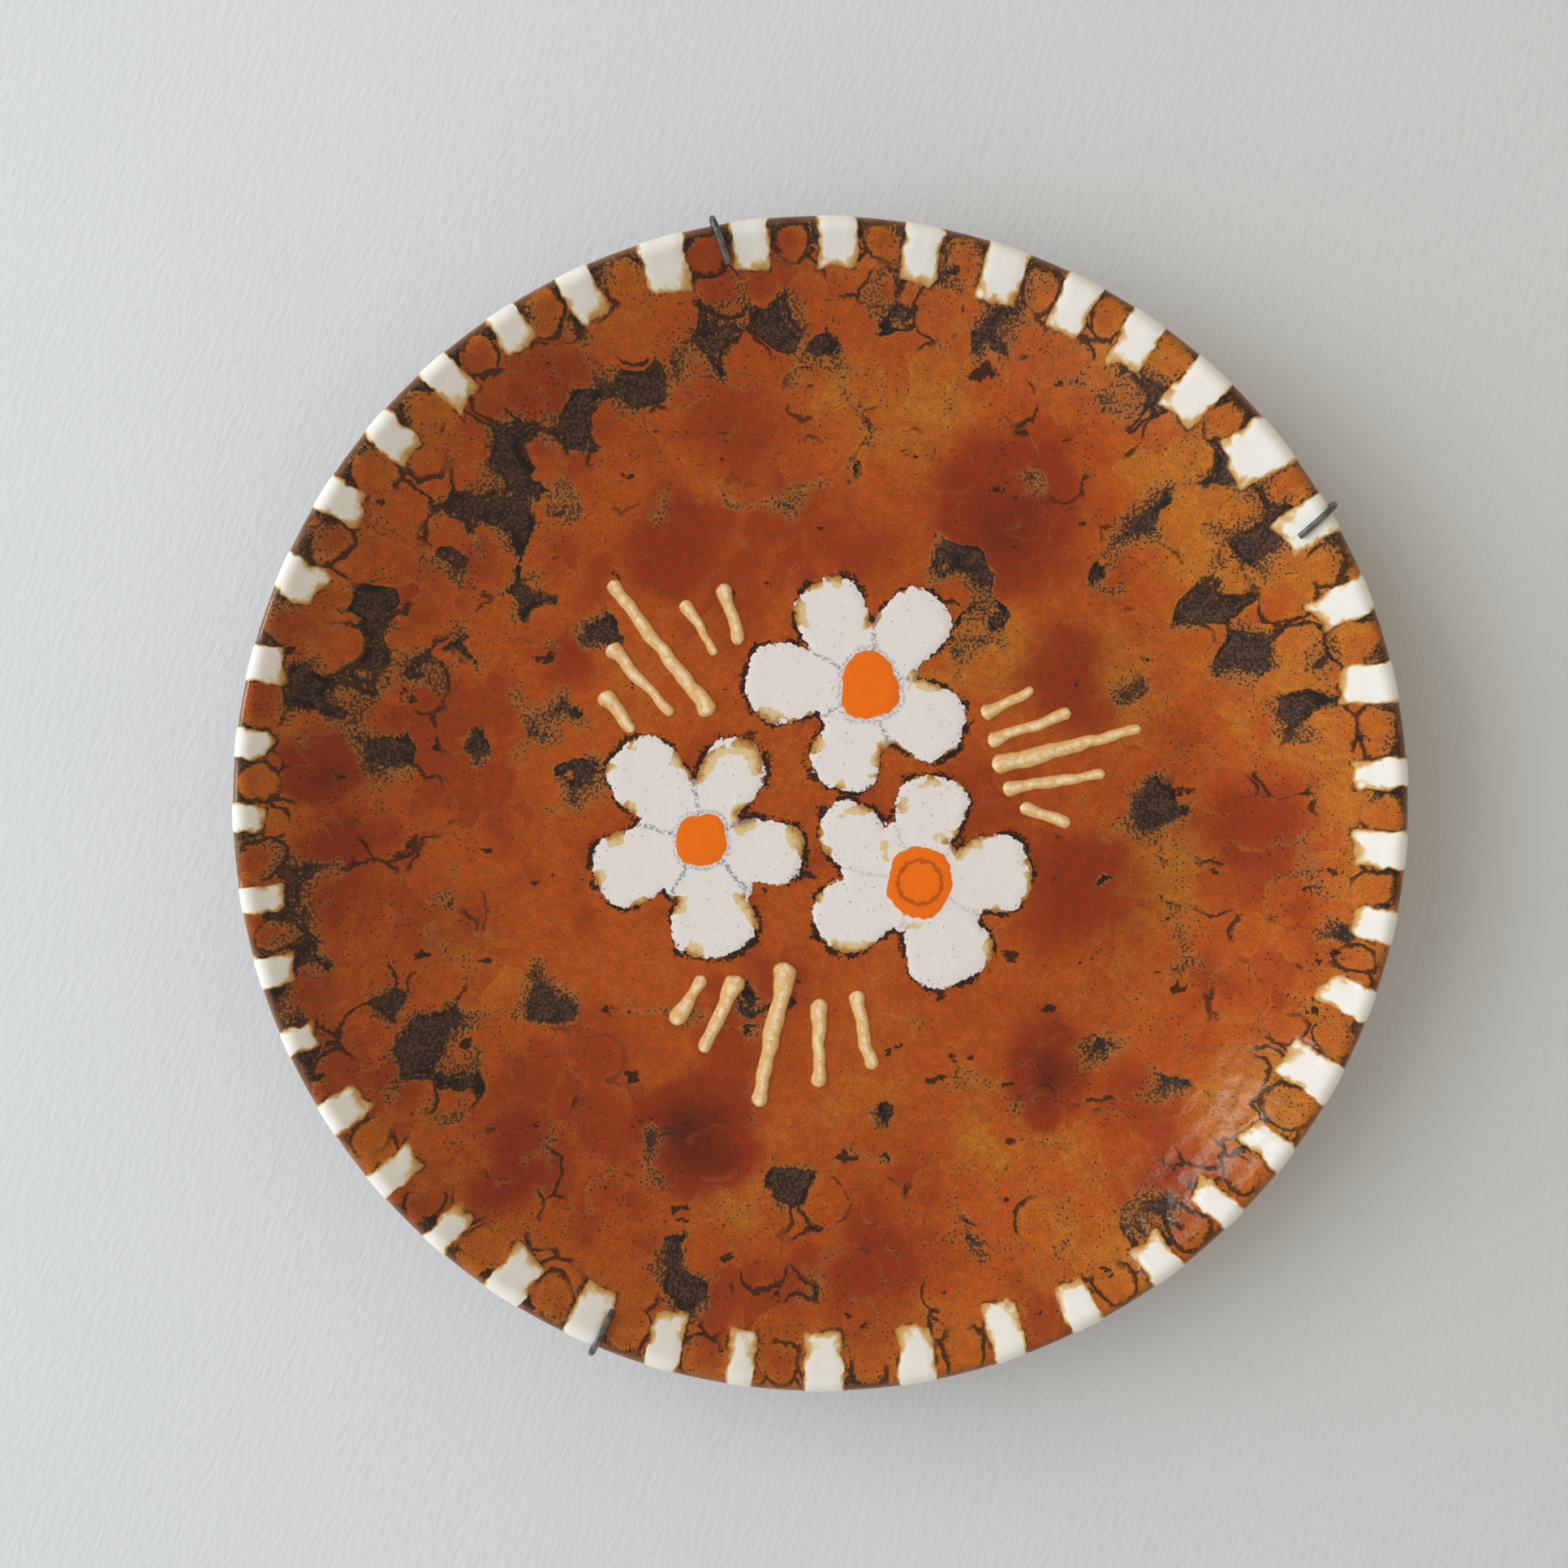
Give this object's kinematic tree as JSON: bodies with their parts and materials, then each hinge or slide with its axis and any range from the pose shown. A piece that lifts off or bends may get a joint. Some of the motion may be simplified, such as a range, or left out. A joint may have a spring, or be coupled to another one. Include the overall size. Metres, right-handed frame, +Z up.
{
  "type": "decorative wall plate",
  "caption": "Round glazed pottery plate with an upturned rim, raised slip strokes and dabbed edge, held by three claws of a sprung wire hanger and hung from its eye.",
  "frame": {"origin": "the point under the top of the hanger's eye where the nail bears", "axes": "+Z up as the plate hangs, +Y from the plate towards the wall, -Y the way its face looks"},
  "size_m": [0.2701, 0.0404, 0.2723],
  "materials": {
    "glaze": "glossy tortoiseshell glaze, amber to dark brown, with white flowers, cream slip strokes and white dabs round the rim",
    "hanger_wire": "dull galvanised wire",
    "spring_steel": "bright drawn spring wire"
  },
  "bodies": {
    "root": {"plate": "glaze", "top_hanger_wire": "hanger_wire", "bottom_hook_wire": "hanger_wire", "tension_spring": "spring_steel"}
  },
  "joints": []
}
